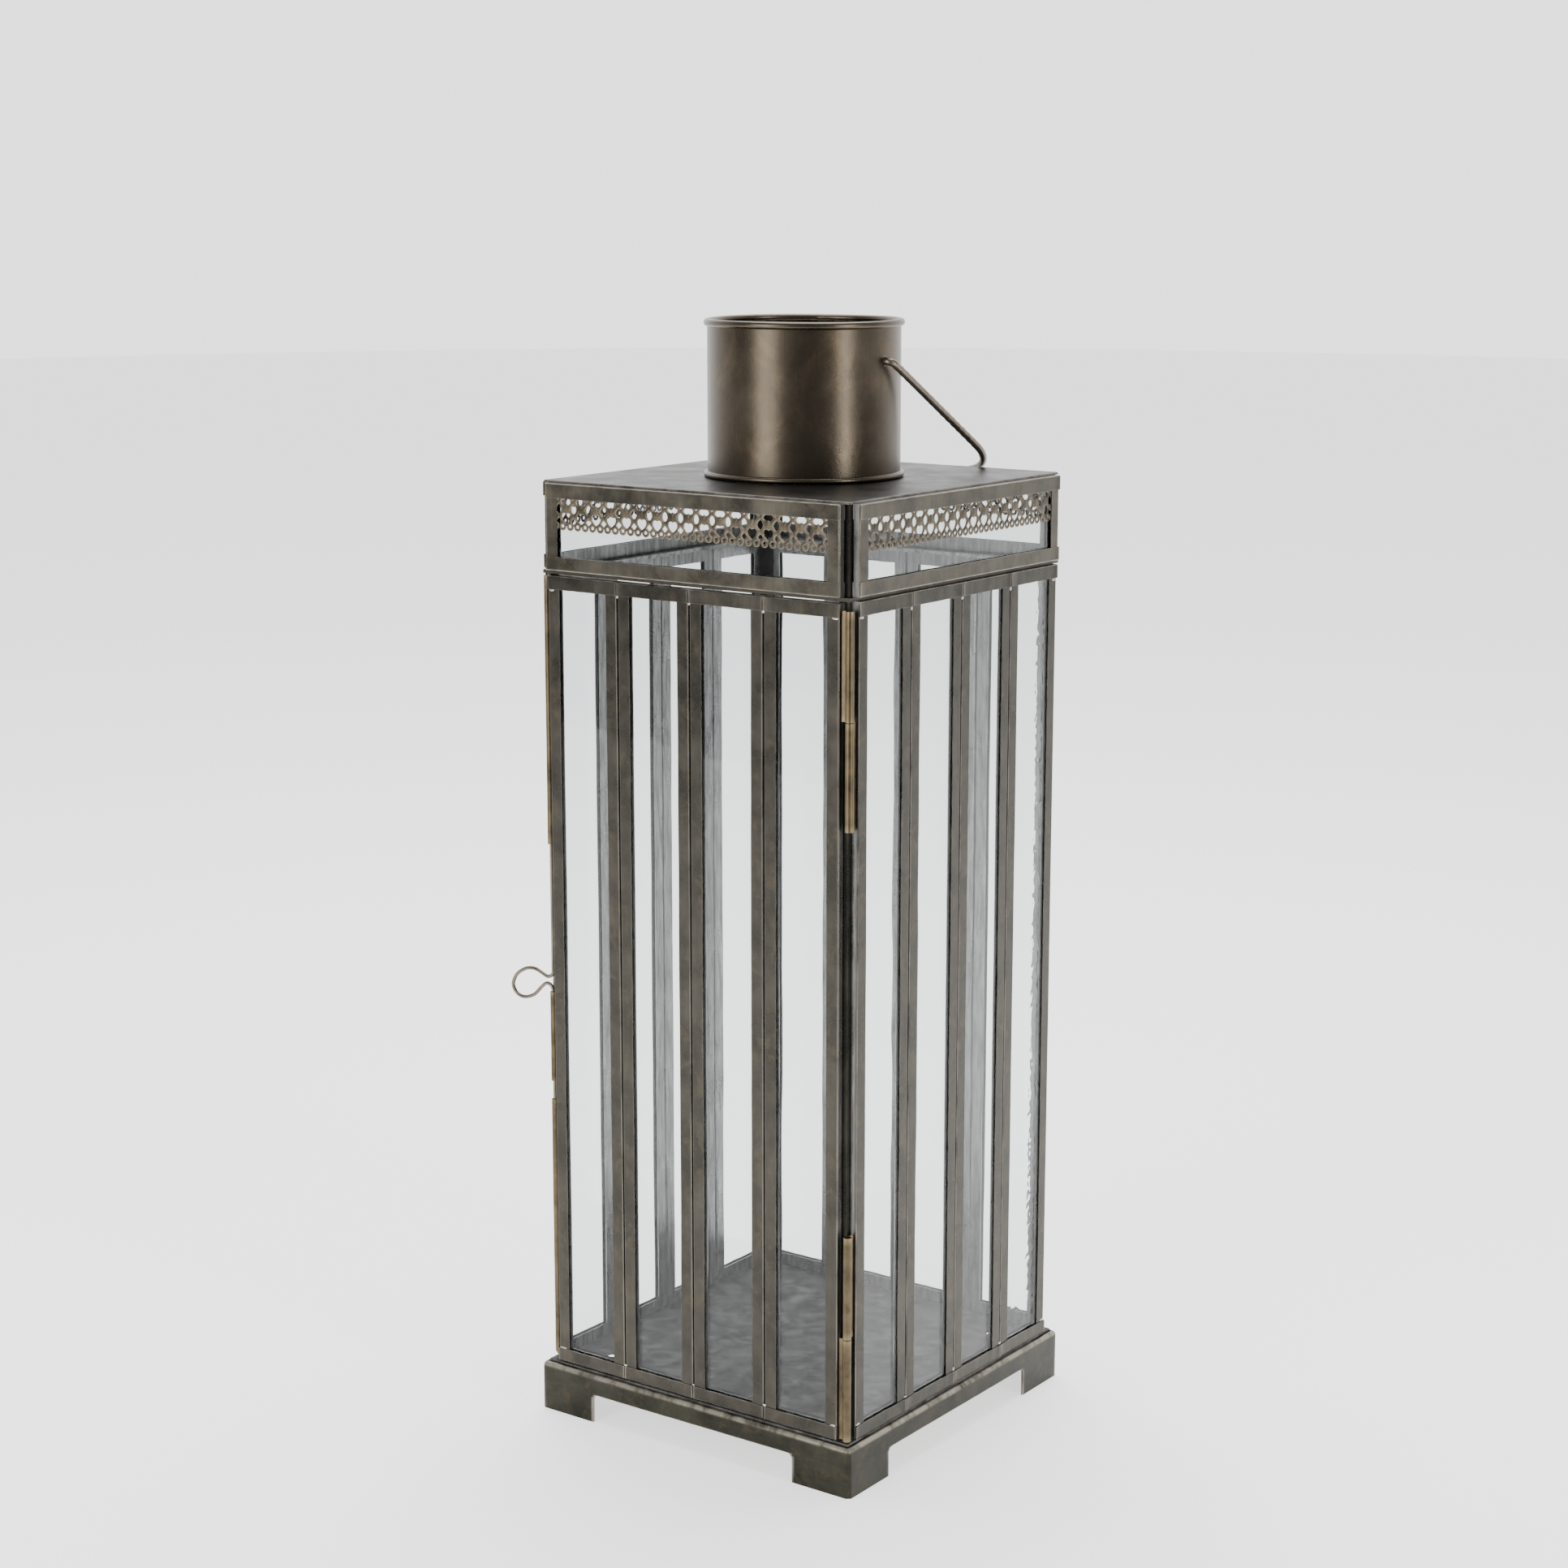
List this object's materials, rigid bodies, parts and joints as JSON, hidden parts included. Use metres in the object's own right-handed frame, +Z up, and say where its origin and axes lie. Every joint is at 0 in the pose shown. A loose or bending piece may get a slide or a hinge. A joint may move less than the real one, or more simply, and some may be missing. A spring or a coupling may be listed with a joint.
{
  "type": "candle lantern",
  "caption": "Tall square candle lantern with narrow glass panes in folded metal channels, hinged door with wire latch, pierced frieze, round chimney collar and wire bail.",
  "frame": {"origin": "middle of the overall box at rest, on the plane that the feet stand on; the middle of the plinth is at x 0.0106, y -0.0025, because the latch's loop reaches out on the left and the bail lies over the back edge", "axes": "+Z up; the door is the -Y side, its hinge at the +X -Y corner and its latch at the -X -Y corner"},
  "size_m": [0.2283, 0.212, 0.5952],
  "materials": {
    "aged_metal": "satin, aged bronze-grey with worn bright edges",
    "pierced_metal": "satin, stamped thin sheet",
    "base_metal": "satin, dark olive bronze with solder scuffs",
    "galvanised": "mottled dull zinc",
    "roof_metal": "dark satin",
    "collar_metal": "dark bronze, soft vertical sheen",
    "wire_metal": "satin wire",
    "hinge_brass": "dull antique brass",
    "clear_glass": "clear, slightly rippled"
  },
  "bodies": {
    "root": {"base_plinth": "base_metal", "floor_plate": "galvanised", "corner_posts": "aged_metal", "shoulder_ring": "aged_metal", "right_pane_frame_1": "aged_metal", "right_pane_glass_1": "clear_glass", "right_pane_frame_2": "aged_metal", "right_pane_glass_2": "clear_glass", "right_pane_frame_3": "aged_metal", "right_pane_glass_3": "clear_glass", "right_pane_frame_4": "aged_metal", "right_pane_glass_4": "clear_glass", "back_pane_frame_1": "aged_metal", "back_pane_glass_1": "clear_glass", "back_pane_frame_2": "aged_metal", "back_pane_glass_2": "clear_glass", "back_pane_frame_3": "aged_metal", "back_pane_glass_3": "clear_glass", "back_pane_frame_4": "aged_metal", "back_pane_glass_4": "clear_glass", "left_pane_frame_1": "aged_metal", "left_pane_glass_1": "clear_glass", "left_pane_frame_2": "aged_metal", "left_pane_glass_2": "clear_glass", "left_pane_frame_3": "aged_metal", "left_pane_glass_3": "clear_glass", "left_pane_frame_4": "aged_metal", "left_pane_glass_4": "clear_glass", "frieze_frame_front": "aged_metal", "frieze_glass_front": "clear_glass", "filigree_strip_front": "pierced_metal", "frieze_frame_right": "aged_metal", "frieze_glass_right": "clear_glass", "filigree_strip_right": "pierced_metal", "frieze_frame_back": "aged_metal", "frieze_glass_back": "clear_glass", "filigree_strip_back": "pierced_metal", "frieze_frame_left": "aged_metal", "frieze_glass_left": "clear_glass", "filigree_strip_left": "pierced_metal", "roof_plate": "roof_metal", "collar": "collar_metal", "collar_rim": "collar_metal", "collar_base_ring": "collar_metal", "hinge_knuckles_frame": "hinge_brass", "hinge_pins": "hinge_brass", "latch_keeper": "hinge_brass"},
    "door": {"door_pane_frame_1": "aged_metal", "door_pane_glass_1": "clear_glass", "door_pane_frame_2": "aged_metal", "door_pane_glass_2": "clear_glass", "door_pane_frame_3": "aged_metal", "door_pane_glass_3": "clear_glass", "door_pane_frame_4": "aged_metal", "door_pane_glass_4": "clear_glass", "hinge_knuckles_door": "hinge_brass", "latch_guide_upper": "hinge_brass", "latch_guide_lower": "hinge_brass"},
    "latch": {"latch_wire": "wire_metal"},
    "bail": {"bail_handle": "wire_metal"}
  },
  "joints": [
    {"name": "door_hinge", "type": "hinge", "parent": "root", "child": "door", "pos_m": [0.1085, -0.1004, 0.24], "axis": [0, 0, 1], "range_deg": [0, 180]},
    {"name": "latch_slide", "type": "slide", "parent": "door", "child": "latch", "axis": [0, 0, 1], "range_m": [0, 0.068]},
    {"name": "bail_swing", "type": "hinge", "parent": "root", "child": "bail", "pos_m": [0.0106, -0.0025, 0.5744], "axis": [1, 0, 0], "range_deg": [0, 241.5]}
  ]
}
